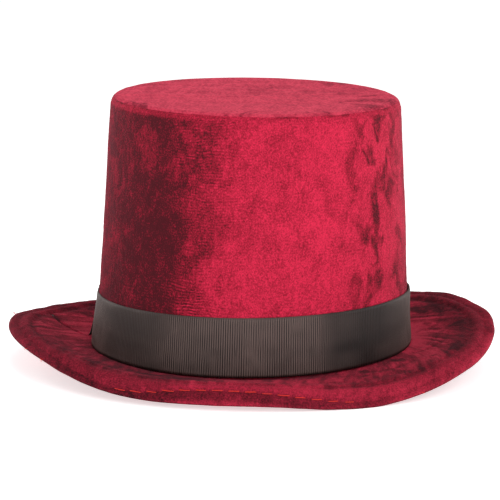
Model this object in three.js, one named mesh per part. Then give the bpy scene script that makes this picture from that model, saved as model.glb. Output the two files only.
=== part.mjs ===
// A soft costume top hat: a tapered oval crown of velvet over stiff board, a grosgrain band, a shaped
// brim of two velvet layers round a board and an edge wire, a lining and a sweatband.
// Millimetres. +Z is up, -Y is the front of the hat, and the hat stands on the table at Z = 0.
//
// Every ring is turned as if the hat were round and its brim flat, and is then "blocked", as a hatter
// does it: shapeBrim bends the brim, shapeCrown seats the crown on it, and both make the hat oval.
import * as THREE from "three";

// ---------------------------------------------------------------- driving dimensions
const FACETS = 48; // round the hat
const CLEAR = 0.3; // between pieces that touch on the real hat

// Crown, measured on the outside of the velvet
const HEIGHT = 163.4; // table to tip
const TIP_RADIUS = 87.1; // half the crown's width at the tip
const BASE_RADIUS = 95.2; // half the crown's width where it meets the brim
const OVAL = 6.4; // the head is longer than it is wide by this much at each end
const TIP_ROUNDING = 5; // radius of the edge between side and tip

// Thicknesses
const VELVET = 1.0;
const CROWN_BOARD = 1.6;
const LINING = 0.6;
const SWEATBAND = 1.2;
const RIBBON = 0.8;
const BRIM_BOARD = 1.6;
const THREAD = 0.7;
const SEAM_THREAD = 0.9;

// Brim, measured along the cloth from the crown's outside
const BRIM_WIDTH = 54.6;
const SKEW = 1; // the brim lies this much further to the left than the crown
const HEM = 14; // turned edge outside the board
const HEM_STITCH = 14; // rows of stitching, in from the edge
const EDGE_STITCH = 6.5;
const WIRE_RADIUS = 0.9;
const BOARD_END = BRIM_WIDTH - HEM_STITCH - 1; // the board stops short of the stitching
const SEAT = 7.2; // height of the brim's middle where it meets the crown, at the front
const SEAT_LIFT = 3.2; // the seat rises this much towards both sides
const LIFT_ENDS = 66; // and the crown has grown level again at this height
const SEAT_LEAN = 2.5; // the right side stands this much higher, the left this much lower

// How the brim is bent, in degrees above level, read every 30 degrees round the hat from the front
// towards +X: the board's slope, and the slope of the hem outside it.
const BRIM_SLOPE = [8, 0.5, 9, 16.5, 20, 11, 6, 11, 13.5, 20, 18, 8.5];
const HEM_SLOPE = [-40, -37, -22, 8, 17, 6, -38, -5, 6, 2, -9, -35];
const CUP = 9; // how much the slope grows from the crown to the hem at the hat's sides
const FOLD = 4; // half-width of the bend between board and hem

// Band and trimmings
const BAND_TOP = 45.3; // height of the ribbon's upper edge at the front
const BAND_FLARE = 1.6; // how far the ribbon's lower edge stands off the crown on the left
const FLARE_AT = -92; // degrees from the front
const FLARE_SPREAD = 34;
const TAB_WIDTH = 20;
const TAB_AT = -108;
const SWEATBAND_HEIGHT = 30;
const OPENING_STITCH = 2; // up from the sweatband's lower edge
const LABEL = { width: 24, height: 32, thickness: 0.5 };

// ---------------------------------------------------------------- layers
// Crown layers are offsets from the velvet's outside, and brim layers are heights above the brim's middle.
const BOARD_OUT = -VELVET - CLEAR;
const BOARD_IN = BOARD_OUT - CROWN_BOARD;
const LINING_OUT = BOARD_IN - CLEAR;
const LINING_IN = LINING_OUT - LINING;
const SWEAT_OUT = LINING_IN - CLEAR;
const SWEAT_IN = SWEAT_OUT - SWEATBAND;
const RIBBON_IN = CLEAR;
const RIBBON_OUT = RIBBON_IN + RIBBON;
const TAB_IN = RIBBON_OUT + CLEAR;
const TAB_OUT = TAB_IN + RIBBON;
const CLOTH_IN = BRIM_BOARD / 2 + CLEAR;
const CLOTH_OUT = CLOTH_IN + VELVET;
const SEAT_TOP = SEAT + CLOTH_OUT; // upper face of the brim beside the crown, at the front

const rad = THREE.MathUtils.degToRad;
const lerp = THREE.MathUtils.lerp;
const smooth = THREE.MathUtils.smoothstep;

// ---------------------------------------------------------------- the block
// The value at angle t (radians from the front) of readings taken at equal steps round the hat,
// joined by a closed Catmull-Rom curve.
function around(readings, t) {
  const n = readings.length;
  const turn = ((t / (2 * Math.PI)) % 1) + 1;
  const place = turn * n;
  const i = Math.floor(place);
  const s = place - i;
  const at = (k) => readings[(i + k + n) % n];
  const [a, b, c, d] = [at(-1), at(0), at(1), at(2)];
  return b + 0.5 * s * (c - a + s * (2 * a - 5 * b + 4 * c - d + s * (3 * (b - c) + d - a)));
}

// Slope of the brim in radians at angle t and distance u from the crown.
function brimSlope(u, t) {
  const board = BRIM_WIDTH - HEM;
  const cup = CUP * Math.sin(t) ** 2 * (2 * THREE.MathUtils.clamp(u / board, 0, 1) - 1);
  const bent = smooth(u, board - FOLD, board + FOLD);
  return rad(lerp(around(BRIM_SLOPE, t) + cup, around(HEM_SLOPE, t), bent));
}

// Where the brim's middle line is at angle t and distance u: out from the crown, up from its seat.
function brimLine(u, t) {
  const steps = Math.max(1, Math.ceil(Math.abs(u)));
  const step = u / steps;
  let out = 0;
  let up = 0;
  for (let k = 0; k < steps; k++) {
    const slope = brimSlope((k + 0.5) * step, t);
    out += step * Math.cos(slope);
    up += step * Math.sin(slope);
  }
  return { out, up, slope: brimSlope(u, t) };
}

// How much higher the brim seats the crown at angle t than at the front.
function seatRise(t, height) {
  const lift = SEAT_LIFT * Math.sin(t) ** 2 * (1 - smooth(height, SEAT_TOP, LIFT_ENDS));
  const lean = SEAT_LEAN * Math.sin(t) * (1 - smooth(height, BAND_TOP, HEIGHT));
  return lift + lean;
}

// Half the crown's width at a height.
const crownRadius = (z) => lerp(BASE_RADIUS, TIP_RADIUS, (z - SEAT_TOP) / (HEIGHT - SEAT_TOP));

// Upper face of the brim at angle t, a distance off the crown.
function brimTop(off, t) {
  const { up, slope } = brimLine(off, t);
  return SEAT + seatRise(t, SEAT_TOP) + up + CLOTH_OUT * Math.cos(slope);
}

// How far the ribbon stands off the crown at angle t and height z.
function flare(t, z) {
  const turned = THREE.MathUtils.euclideanModulo(t - rad(FLARE_AT) + Math.PI, 2 * Math.PI) - Math.PI;
  const near = Math.exp(-((turned / rad(FLARE_SPREAD)) ** 2));
  return BAND_FLARE * near * (1 - smooth(z, SEAT_TOP, BAND_TOP));
}

// Moves every vertex of a round piece by place(r, t, z), which returns a new [r, z], then makes it oval.
function blocked(geometry, place) {
  const p = geometry.getAttribute("position");
  for (let i = 0; i < p.count; i++) {
    const t = Math.atan2(p.getX(i), -p.getY(i));
    const [r, z] = place(Math.hypot(p.getX(i), p.getY(i)), t, p.getZ(i));
    const oval = OVAL * Math.min(1, r / TIP_RADIUS);
    const skew = SKEW * Math.max(0, (r - BASE_RADIUS) / BRIM_WIDTH);
    p.setXYZ(i, r * Math.sin(t) - skew, -(r + oval) * Math.cos(t), z);
  }
  return geometry;
}

const shapeBrim = (geometry) =>
  blocked(geometry, (r, t, n) => {
    const { out, up, slope } = brimLine(r - BASE_RADIUS, t);
    return [
      BASE_RADIUS + out - n * Math.sin(slope),
      SEAT + seatRise(t, SEAT_TOP) + up + n * Math.cos(slope),
    ];
  });

const shapeCrown = (geometry) =>
  blocked(geometry, (r, t, z) => [r, z + seatRise(t, z)]);

// Ribbon pieces also flare, and their lower edge follows the brim.
const shapeRibbon = (geometry) =>
  blocked(geometry, (r, t, z) => {
    const off = r - crownRadius(z) + flare(t, z);
    const raised = z + seatRise(t, z);
    const floor = brimTop(TAB_OUT + flare(t, SEAT_TOP), t) + CLEAR;
    const low = 1 - smooth(z, SEAT_TOP, SEAT_TOP + 8);
    return [crownRadius(z) + off, lerp(raised, Math.max(raised, floor + z - SEAT_TOP), low)];
  });

// ---------------------------------------------------------------- pieces
const hat = new THREE.Group();
const colours = {
  velvet: { color: 0x9c1230, roughness: 0.85 },
  board: { color: 0x2a2524, roughness: 0.9 },
  ribbon: { color: 0x3c3230, roughness: 0.55 },
  lining: { color: 0x17151a, roughness: 0.5 },
  sweatband: { color: 0x1d1b1d, roughness: 0.8 },
  thread: { color: 0xd8341c, roughness: 0.7 },
  wire: { color: 0x9a9ca0, roughness: 0.35, metalness: 1 },
  label: { color: 0xe9e6df, roughness: 0.7 },
};
const materials = Object.fromEntries(
  Object.entries(colours).map(([name, look]) => [name, new THREE.MeshStandardMaterial(look)]),
);

function add(name, material, geometry) {
  const mesh = new THREE.Mesh(geometry, materials[material]);
  mesh.name = name;
  hat.add(mesh);
}

// A profile of [radius, height] pairs turned about Z. It starts and ends on the axis, or closes on itself.
function turned(profile) {
  const points = profile.map(([r, z]) => new THREE.Vector2(r, z));
  if (profile[0][0] > 0) points.push(points[0].clone());
  return new THREE.LatheGeometry(points, FACETS).rotateX(Math.PI / 2);
}

// Points of an arc about [r, z], between two angles in degrees from the outward direction.
function arc([r, z], radius, from, to, steps) {
  return Array.from({ length: steps + 1 }, (_, k) => {
    const a = rad(lerp(from, to, k / steps));
    return [r + radius * Math.cos(a), z + radius * Math.sin(a)];
  });
}

// A layer of the crown's side, between two offsets from the velvet's outside and two heights.
function wall(inner, outer, bottom, top, rings = 3) {
  const heights = Array.from({ length: rings + 1 }, (_, k) => lerp(bottom, top, k / rings));
  const outside = heights.map((z) => [crownRadius(z) + outer, z]);
  const inside = heights.map((z) => [crownRadius(z) + inner, z]).reverse();
  return [...outside, ...inside];
}

// A flat disc across the crown.
const disc = (radius, bottom, top) => [[0, bottom], [radius, bottom], [radius, top], [0, top]];

// A strip laid round the crown at an angle: width round it, between two heights and two offsets.
function strip(at, width, bottom, top, inner, outer, columns = 4, rows = 4) {
  const box = new THREE.BoxGeometry(width, top - bottom, outer - inner, columns, rows, 1);
  const p = box.getAttribute("position");
  for (let i = 0; i < p.count; i++) {
    const z = lerp(bottom, top, p.getY(i) / (top - bottom) + 0.5);
    const r = crownRadius(z) + (inner + outer) / 2 + p.getZ(i);
    const t = rad(at) - p.getX(i) / crownRadius(z);
    p.setXYZ(i, r * Math.sin(t), -r * Math.cos(t), z);
  }
  return turnedInsideOut(box);
}

// Reverses every face: a strip's width runs backwards round the hat, which mirrors its box.
function turnedInsideOut(geometry) {
  const index = geometry.getIndex();
  for (let i = 0; i < index.count; i += 3) {
    const second = index.getX(i + 1);
    index.setX(i + 1, index.getX(i + 2));
    index.setX(i + 2, second);
  }
  return geometry;
}

// Crown
const wallBottom = SEAT_TOP + CLEAR;
const edge = [TIP_RADIUS - TIP_ROUNDING, HEIGHT - TIP_ROUNDING]; // centre of the tip's rounding
const shoulder = HEIGHT - TIP_ROUNDING;
const inner = TIP_ROUNDING - VELVET;

function makeCrown() {
  const side = wall(-VELVET, 0, wallBottom, shoulder);
  const half = side.length / 2;
  const cap = [
    ...arc(edge, TIP_ROUNDING, 12, 44, 2),
    ...arc(edge, inner, 44, 12, 2),
  ];
  const sideProfile = [...side.slice(0, half), ...cap, ...side.slice(half)];
  add("crown_side_velvet", "velvet", shapeCrown(turned(sideProfile)));

  const tip = [
    [0, HEIGHT - VELVET],
    ...arc(edge, inner, 90, 52, 2),
    ...arc(edge, TIP_ROUNDING, 50, 90, 3),
    [0, HEIGHT],
  ];
  add("crown_tip_velvet", "velvet", shapeCrown(turned(tip)));

  const boardTop = HEIGHT - VELVET - CLEAR;
  const tipUnder = boardTop - CROWN_BOARD;
  const board = wall(BOARD_IN, BOARD_OUT, wallBottom, shoulder - CLEAR);
  add("crown_side_board", "board", shapeCrown(turned(board)));
  add("crown_tip_board", "board", shapeCrown(turned(disc(edge[0] + 1, tipUnder, boardTop))));

  // the seam's stitches lie in the corner that the two boards leave under the velvet
  const [seamR, seamZ] = arc(edge, inner - CLEAR - SEAM_THREAD / 2, 47, 47, 1)[0];
  const seam = arc([seamR, seamZ], SEAM_THREAD / 2, 0, 270, 3);
  add("tip_seam_stitching", "thread", shapeCrown(turned(seam)));

  const liningTop = tipUnder - CLEAR;
  const liningDisc = disc(TIP_RADIUS + LINING_IN - CLEAR, liningTop - LINING, liningTop);
  add("tip_lining", "lining", shapeCrown(turned(liningDisc)));
  const lining = wall(LINING_IN, LINING_OUT, wallBottom, liningTop - LINING - CLEAR);
  add("side_lining", "lining", shapeCrown(turned(lining)));

  const sweatTop = wallBottom + SWEATBAND_HEIGHT;
  const sweatband = wall(SWEAT_IN, SWEAT_OUT, wallBottom, sweatTop, 2);
  add("sweatband", "sweatband", shapeCrown(turned(sweatband)));
  const labelBottom = sweatTop + CLEAR;
  const label = strip(
    180, LABEL.width, labelBottom, labelBottom + LABEL.height,
    LINING_IN - CLEAR - LABEL.thickness, LINING_IN - CLEAR, 3, 2,
  );
  add("care_label", "label", shapeCrown(label));
}

// Brim layers: profiles run out from the head opening, as [distance from the crown, height above the
// brim's middle].
const bend = BRIM_WIDTH - HEM;
const brimStations = [0, 12, 24, bend - FOLD - 1, bend - 1, bend + FOLD - 1];
const opening = BOARD_IN; // the brim's layers reach in under the crown's wall
const lip = BRIM_WIDTH - CLOTH_OUT; // centre of the rolled edge
const brimProfile = (pairs) => turned(pairs.map(([u, n]) => [BASE_RADIUS + u, n]));

// One layer of brim cloth, above the middle or, with side -1, below it.
function brimCloth(side) {
  const rows = [opening, ...brimStations];
  const outer = [...rows.map((u) => [u, CLOTH_OUT]), ...arc([lip, 0], CLOTH_OUT, 90, 5, 3)];
  const inside = [...arc([lip, 0], CLOTH_IN, 8, 90, 2), ...rows.map((u) => [u, CLOTH_IN]).reverse()];
  const loop = [...outer, ...inside].map(([u, n]) => [u, n * side]);
  return shapeBrim(brimProfile(side > 0 ? loop.reverse() : loop));
}

// A round section carried round the brim.
function ring(u, n, radius, sides) {
  const section = Array.from({ length: sides }, (_, k) => {
    const a = (2 * Math.PI * (k + 0.5)) / sides;
    return [u + radius * Math.cos(a), n + radius * Math.sin(a)];
  });
  return shapeBrim(brimProfile(section));
}

function makeBrim() {
  add("brim_upper_velvet", "velvet", brimCloth(1));
  add("brim_lower_velvet", "velvet", brimCloth(-1));

  const half = BRIM_BOARD / 2;
  const rows = [opening, ...brimStations.filter((u) => u < BOARD_END), BOARD_END];
  const board = [...rows.map((u) => [u, -half]), ...rows.map((u) => [u, half]).reverse()];
  add("brim_board", "board", shapeBrim(brimProfile(board)));
  add("brim_wire", "wire", ring(lip, 0, WIRE_RADIUS, 6));

  const face = CLOTH_OUT + CLEAR + THREAD / 2;
  const rowsOfStitching = [["hem_stitching", HEM_STITCH], ["edge_stitching", EDGE_STITCH]];
  for (const [name, inFromEdge] of rowsOfStitching) {
    add(`${name}_upper`, "thread", ring(BRIM_WIDTH - inFromEdge, face, THREAD / 2, 4));
    add(`${name}_lower`, "thread", ring(BRIM_WIDTH - inFromEdge, -face, THREAD / 2, 4));
  }
}

// The stitches that hold the sweatband to the head opening.
function makeOpeningStitching() {
  const low = wallBottom + OPENING_STITCH;
  const face = SWEAT_IN - CLEAR;
  const thread = wall(face - THREAD, face, low, low + THREAD, 1);
  add("opening_stitching", "thread", shapeCrown(turned(thread)));
}

function makeBand() {
  const band = wall(RIBBON_IN, RIBBON_OUT, SEAT_TOP, BAND_TOP, 4);
  add("hat_band", "ribbon", shapeRibbon(turned(band)));
  const tab = strip(TAB_AT, TAB_WIDTH, SEAT_TOP + 1, BAND_TOP - 1, TAB_IN, TAB_OUT, 4, 4);
  add("band_tab", "ribbon", shapeRibbon(tab));
}

makeCrown();
makeBrim();
makeOpeningStitching();
makeBand();

// Stand the hat on the table with its footprint centred on the origin.
const box = new THREE.Box3().setFromObject(hat, true);
const centre = box.getCenter(new THREE.Vector3());
hat.position.set(-centre.x, -centre.y, -box.min.z);

export default hat;
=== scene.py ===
# %% [markdown]
# # A costume top hat in crushed velvet
# The hat is a stiff oval tube and an oval lid of board, covered in crimson crushed velvet, with a
# charcoal grosgrain ribbon round it and a curled brim stitched round its edge. The boards, the edge wire
# and all the sizes come from the CAD frame. This script makes the cloth: every visible piece is built
# here as a fine mesh over the same shape, with its own puckers, ribs, stitches and nap.

# %% Load the frame
import math

import bpy
import numpy as np
from mathutils import Matrix, Vector


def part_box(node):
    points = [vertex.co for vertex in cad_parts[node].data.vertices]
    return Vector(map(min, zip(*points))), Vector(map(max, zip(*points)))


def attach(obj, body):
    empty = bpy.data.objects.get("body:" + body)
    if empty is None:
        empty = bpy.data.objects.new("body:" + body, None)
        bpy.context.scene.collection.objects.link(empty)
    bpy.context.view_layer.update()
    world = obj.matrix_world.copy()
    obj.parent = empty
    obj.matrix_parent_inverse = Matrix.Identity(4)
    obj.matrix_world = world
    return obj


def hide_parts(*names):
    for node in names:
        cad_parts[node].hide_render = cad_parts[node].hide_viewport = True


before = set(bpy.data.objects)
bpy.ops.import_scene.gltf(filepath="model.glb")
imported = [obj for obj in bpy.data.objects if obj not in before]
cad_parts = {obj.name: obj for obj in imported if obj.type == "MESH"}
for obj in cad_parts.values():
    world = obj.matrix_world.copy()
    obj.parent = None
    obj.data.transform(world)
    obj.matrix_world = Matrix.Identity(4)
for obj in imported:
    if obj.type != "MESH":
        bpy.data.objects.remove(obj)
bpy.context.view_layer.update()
MM = 0.001
TURN = 2 * math.pi

# %% [markdown]
# ## The camera
# A product view from far away keeps the crown's sides nearly straight. The camera stands in front of the
# hat and a little above it, so that the tip shows as a thin oval, and it leans by under a degree.

# %% Camera
CAMERA_PLACE = Vector((0.0, -2.3, 0.4386))
CAMERA_TARGET = Vector((0.0, 0.0, 0.0694))
CAMERA_LENS = 276.0
CAMERA_LEAN = 0.015
CAMERA_SHIFT = -0.0054


def aimed(place, target, lean=0.0):
    """A matrix at place that looks at target, turned round its own axis by lean radians."""
    back = (place - target).normalized()
    across = Vector((0, 0, 1)).cross(back).normalized()
    above = back.cross(across)
    right = across * math.cos(lean) + above * math.sin(lean)
    up = above * math.cos(lean) - across * math.sin(lean)
    turn = Matrix((right, up, back)).transposed().to_4x4()
    return Matrix.Translation(place) @ turn


camera_data = bpy.data.cameras.new("camera")
camera_data.lens = CAMERA_LENS
camera_data.shift_x = CAMERA_SHIFT
camera_data.clip_end = 50
camera = bpy.data.objects.new("camera", camera_data)
bpy.context.scene.collection.objects.link(camera)
camera.matrix_world = aimed(CAMERA_PLACE, CAMERA_TARGET, CAMERA_LEAN)
bpy.context.scene.camera = camera
print("camera distance", round((CAMERA_PLACE - CAMERA_TARGET).length, 3), "m")

# %% [markdown]
# ## The hatter's block
# A hatter shapes cloth over a block. The functions here are this hat's block, in millimetres: given an
# angle round the hat, they say where the crown's wall and the brim's middle run. The angle t is 0 at the
# front and grows towards the right. Every piece is built through them, so layers never cross.

# %% Driving dimensions
BASE_RADIUS = 95.2
TIP_RADIUS = 87.1
OVAL = 6.4
HEIGHT = 163.4
TIP_ROUNDING = 5.0
BRIM_WIDTH = 54.6
SKEW = 1.0
HEM = 14.0
FOLD = 4.0
CUP = 9.0
SEAT = 7.2
SEAT_LIFT = 3.2
LIFT_ENDS = 66.0
SEAT_LEAN = 2.5
BACK_SWELL = 1.1
BRIM_SLOPE = [8, 0.5, 9, 16.5, 20, 11, 6, 11, 13.5, 20, 18, 8.5]
HEM_SLOPE = [-40, -37, -22, 8, 17, 6, -38, -5, 6, 2, -9, -35]
BAND_TOP = 45.3
SWELL_FROM = BAND_TOP + 60  # the back swells from this height up
BAND_FLARE = 1.6
FLARE_AT = math.radians(-92)
FLARE_SPREAD = math.radians(34)
CLEAR = 0.3
VELVET = 1.0
HALF_BRIM = 1.1  # from the brim's middle to the velvet's inner face
BRIM_FACE = HALF_BRIM + VELVET
SEAT_TOP = SEAT + BRIM_FACE
WALL_BOTTOM = SEAT_TOP + CLEAR
SHOULDER = HEIGHT - TIP_ROUNDING
HEM_STITCH = BRIM_WIDTH - 14.0
EDGE_STITCH = BRIM_WIDTH - 6.5

tip_low, tip_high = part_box("crown_tip_velvet")
AXIS_X = (tip_low.x + tip_high.x) / 2 / MM
AXIS_Y = (tip_low.y + tip_high.y) / 2 / MM
RAISE = tip_high.z / MM - HEIGHT
print("crown axis at", round(AXIS_X, 2), round(AXIS_Y, 2), "raised", round(RAISE, 3), "mm")


# %% Block functions
def smooth(x, low, high):
    s = np.clip((x - low) / (high - low), 0, 1)
    return s * s * (3 - 2 * s)


def around(readings, t):
    """The value at t of readings taken at equal steps round the hat, joined by a smooth closed curve."""
    place = (t / TURN) % 1 * len(readings)
    i = np.floor(place).astype(int)
    s = place - i
    a, b, c, d = (np.take(readings, i + k, mode="wrap") for k in (-1, 0, 1, 2))
    return b + 0.5 * s * (c - a + s * (2 * a - 5 * b + 4 * c - d + s * (3 * (b - c) + d - a)))


def brim_slope(u, t):
    """Slope of the brim in radians at distance u from the crown."""
    board = BRIM_WIDTH - HEM
    cup = CUP * np.sin(t) ** 2 * (2 * np.clip(u / board, 0, 1) - 1)
    bent = smooth(u, board - FOLD, board + FOLD)
    return np.radians((around(BRIM_SLOPE, t) + cup) * (1 - bent) + around(HEM_SLOPE, t) * bent)


def seat_rise(t, height):
    """How much higher the brim holds the crown at angle t than at the front."""
    lift = SEAT_LIFT * np.sin(t) ** 2 * (1 - smooth(height, SEAT_TOP, LIFT_ENDS))
    lean = SEAT_LEAN * np.sin(t) * (1 - smooth(height, BAND_TOP, HEIGHT))
    return lift + lean

def back_rise(r, t, z):
    """The velvet swells a little more over the tip's back edge."""
    backwards = (1 - np.minimum(1, r / TIP_RADIUS) * np.cos(t)) / 2
    return BACK_SWELL * smooth(z, SWELL_FROM, HEIGHT) * backwards


def crown_radius(z):
    return BASE_RADIUS + (TIP_RADIUS - BASE_RADIUS) * (z - SEAT_TOP) / (HEIGHT - SEAT_TOP)


def placed(r, t, z):
    """Radius, angle and height to an array of points in metres, made oval and set on the frame's axis."""
    oval = OVAL * np.minimum(1, r / TIP_RADIUS)
    skew = SKEW * np.maximum(0, (r - BASE_RADIUS) / BRIM_WIDTH)
    x = r * np.sin(t) - skew + AXIS_X
    y = -(r + oval) * np.cos(t) + AXIS_Y
    return np.stack(np.broadcast_arrays(x, y, z + RAISE), -1) * MM


def on_crown(r, t, z, swell=0.0):
    """Points of the crown, which stands as high as the brim holds it."""
    return placed(r, t, z + seat_rise(t, z) + swell)


WOBBLE_OUT = 0.6  # how much of the soft edge's wave goes outwards


def brim_place(u, t, n, wobble=0.0):
    """Points n above the brim's middle, at distances u from the crown and at the row of angles t.

    wobble says how far the soft edge stands above its plain line at each angle.
    """
    step = 0.5
    edges = np.arange(0, BRIM_WIDTH + 2 * step, step)
    slopes = brim_slope((edges[:-1] + step / 2)[:, None], t)
    nothing = np.zeros_like(t)
    out = np.vstack([nothing, np.cumsum(np.cos(slopes), 0) * step])
    up = np.vstack([nothing, np.cumsum(np.sin(slopes), 0) * step])
    place = np.clip(u, 0, None) / step
    k = np.minimum(place.astype(int), len(edges) - 2)
    part = (place - k)[:, None]
    slope = brim_slope(u[:, None], t)
    inward = np.minimum(u, 0)[:, None]
    r = out[k] * (1 - part) + out[k + 1] * part + inward * np.cos(slope) - n * np.sin(slope)
    z = up[k] * (1 - part) + up[k + 1] * part + inward * np.sin(slope) + n * np.cos(slope)
    soft = smooth(u, BRIM_WIDTH - HEM - FOLD, BRIM_WIDTH)[:, None]
    z = z + wobble * soft
    r = r + WOBBLE_OUT * wobble * soft
    return placed(BASE_RADIUS + r, t, SEAT + seat_rise(t, SEAT_TOP) + z)


front_and_right = np.array([[0.0, math.pi / 2]])
edge_points = brim_place(np.array([BRIM_WIDTH]), front_and_right, 0.0)[0] / MM
print("brim's edge, front and right, mm:", np.round(edge_points, 1).tolist())

# %% [markdown]
# ## Cloth is never even
# Crushed velvet over board has slow dents, small puckers and a restless surface. A smooth random field,
# closed round the hat, gives all of them. It is seeded, so that every run makes the same hat.

# %% Random fields and mesh helpers
def unevenness(turn, along, cells_round, cells_along, seed):
    """A smooth random field from -1 to 1. turn is 0 to 1 round the hat and closes, along is 0 to 1."""
    draws = np.random.default_rng(seed).uniform(-1, 1, (cells_round, cells_along + 2))
    x = np.asarray(turn) % 1 * cells_round
    y = np.clip(along, 0, 1) * cells_along
    i = np.floor(x).astype(int)
    j = np.floor(y).astype(int)
    fx = x - i
    fy = y - j
    fx = fx * fx * (3 - 2 * fx)
    fy = fy * fy * (3 - 2 * fy)
    i = i % cells_round
    after = (i + 1) % cells_round
    low = draws[i, j] * (1 - fx) + draws[after, j] * fx
    high = draws[i, j + 1] * (1 - fx) + draws[after, j + 1] * fx
    return low * (1 - fy) + high * fy


RAGGED_FADE = 0.62  # how strong each finer field is, next to the one before
RAGGED_PUSH = 0.7  # how many cells each field pushes the finer ones about


def ragged(turn, along, cells_round, cells_along, seed):
    """Broken, feathery patches from about -1 to 1: four fields, each finer and pushed about by the last."""
    total = 0.0
    for k in range(4):
        size = 2**k
        cells = (cells_round * size, cells_along * size)
        total = total + RAGGED_FADE**k * unevenness(turn, along, *cells, seed + k)
        sideways = unevenness(turn, along, *cells, seed + 10 + k) / cells[0]
        upwards = unevenness(turn, along, *cells, seed + 20 + k) / cells[1]
        turn = turn + RAGGED_PUSH * sideways
        along = along + RAGGED_PUSH * upwards
    return total


def layered(turn, along, layers, field=unevenness):
    """Fields on top of each other. Each layer is (height, cells round, cells along, seed)."""
    return sum(height * field(turn, along, *cells) for height, *cells in layers)


def bell(x, width):
    """1 where x is 0, fading away on both sides."""
    return np.exp(-((x / width) ** 2))


def angles(count):
    """A row of equal steps round the hat."""
    return np.arange(count)[None, :] / count * TURN - math.pi


def spread(column, t):
    """A column of values, the same at every angle of the row t."""
    return np.repeat(column[:, None], t.size, 1)


def turn_of(t):
    return t / TURN + 0.5


EDGE_WAVES = [(0.45, 26, 1, 43), (0.22, 75, 1, 44)]


def edge_wobble(t):
    """The brim's edge is soft past its board, so it waves a little between the stitches."""
    return layered(turn_of(t), 0, EDGE_WAVES)


def made_object(name, vertices, faces, marks=None):
    """An object from points and faces, its faces turned outwards. marks are values for each point."""
    v = np.asarray(vertices, float)
    volume = 0.0
    for corner in (1, 2):
        f = np.array([[q[0], q[corner], q[corner + 1]] for q in faces if len(q) > corner + 1])
        a, b, c = v[f[:, 0]], v[f[:, 1]], v[f[:, 2]]
        volume += float((a * np.cross(b, c)).sum())
    if volume < 0:
        faces = [q[::-1] for q in faces]
    mesh = bpy.data.meshes.new(name)
    mesh.from_pydata(v.tolist(), [], faces)
    mesh.polygons.foreach_set("use_smooth", [True] * len(mesh.polygons))
    for key, values in (marks or {}).items():
        layer = mesh.attributes.new(key, "FLOAT", "POINT")
        layer.data.foreach_set("value", np.asarray(values, np.float32).ravel())
    made = bpy.data.objects.new(name, mesh)
    bpy.context.scene.collection.objects.link(made)
    return made


def grid_faces(rows, columns, rows_close=False, columns_close=True):
    """Quads over a grid of points numbered row by row. What closes has its last joined to its first."""
    i = np.arange(rows if rows_close else rows - 1)[:, None]
    j = np.arange(columns if columns_close else columns - 1)[None, :]
    here = i * columns
    there = (i + 1) % rows * columns
    after = (j + 1) % columns
    return np.stack([here + j, here + after, there + after, there + j], -1).reshape(-1, 4)


def ring_object(name, points, marks=None):
    """A band of cloth closed round the hat: points is (profile, round, 3), and the profile closes."""
    rows, columns, _ = points.shape
    return made_object(name, points.reshape(-1, 3), grid_faces(rows, columns, True).tolist(), marks)


def finished(piece, slot, material, *nodes):
    """Everything each piece needs: the nodes it stands for, its body and its material. slot is not used."""
    if nodes:
        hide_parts(*nodes)
    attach(piece, "root")
    piece.data.materials.append(material)
    print(f"{piece.name}: {len(piece.data.polygons)} faces")
    return piece


# %% [markdown]
# ## Shared finishes
# Two effects appear in more than one material. "Crushed nap" is the patchy lie of a velvet pile: where
# the pile leans to the light it is bright, where it leans away it is nearly black, and fine rows of the
# knitted backing show where it changes over. The lean it is given also carries painted light and shade.
# "Round the hat" unrolls the crown, so that patterns can run round it or up it. Both are node groups, so
# each material gives them its own values.

# %% Node helpers
def node(tree, kind, **settings):
    made = tree.nodes.new(kind)
    for name, value in settings.items():
        setattr(made, name, value)
    return made


def feed(tree, socket, value):
    """Links value to the socket if it is a socket too, or else sets it as a number or a colour."""
    if isinstance(value, bpy.types.NodeSocket):
        tree.links.new(value, socket)
    else:
        socket.default_value = value


def fed(tree, made, **values):
    """The outputs of a node whose inputs are fed by name."""
    for label, value in values.items():
        feed(tree, made.inputs[label.replace("_", " ")], value)
    return made.outputs


def maths(tree, operation, *values):
    """One Math node on numbers or sockets."""
    made = node(tree, "ShaderNodeMath", operation=operation)
    for socket, value in zip(made.inputs, values):
        feed(tree, socket, value)
    return made.outputs[0]


def scaled(tree, place, factors):
    """place times the (x, y, z) factors."""
    made = node(tree, "ShaderNodeVectorMath", operation="MULTIPLY")
    feed(tree, made.inputs[0], place)
    feed(tree, made.inputs[1], factors)
    return made.outputs[0]


def object_place(tree):
    return node(tree, "ShaderNodeTexCoord").outputs["Object"]


def point_value(tree, name):
    """A value that the mesh carries on its points."""
    return node(tree, "ShaderNodeAttribute", attribute_name=name).outputs["Fac"]


def new_group(name, inputs, outputs):
    """An empty shader group with its sockets. inputs are (name, kind, default)."""
    tree = bpy.data.node_groups.new(name, "ShaderNodeTree")
    for label, kind, default in inputs:
        made = tree.interface.new_socket(label, in_out="INPUT", socket_type=f"NodeSocket{kind}")
        if default is not None:
            made.default_value = default
    for label, kind in outputs:
        tree.interface.new_socket(label, in_out="OUTPUT", socket_type=f"NodeSocket{kind}")
    return tree, node(tree, "NodeGroupInput").outputs, node(tree, "NodeGroupOutput").inputs


def placed_group(tree, group, **values):
    """The group as one node, its inputs fed by name."""
    return fed(tree, node(tree, "ShaderNodeGroup", node_tree=group), **values)


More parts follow.
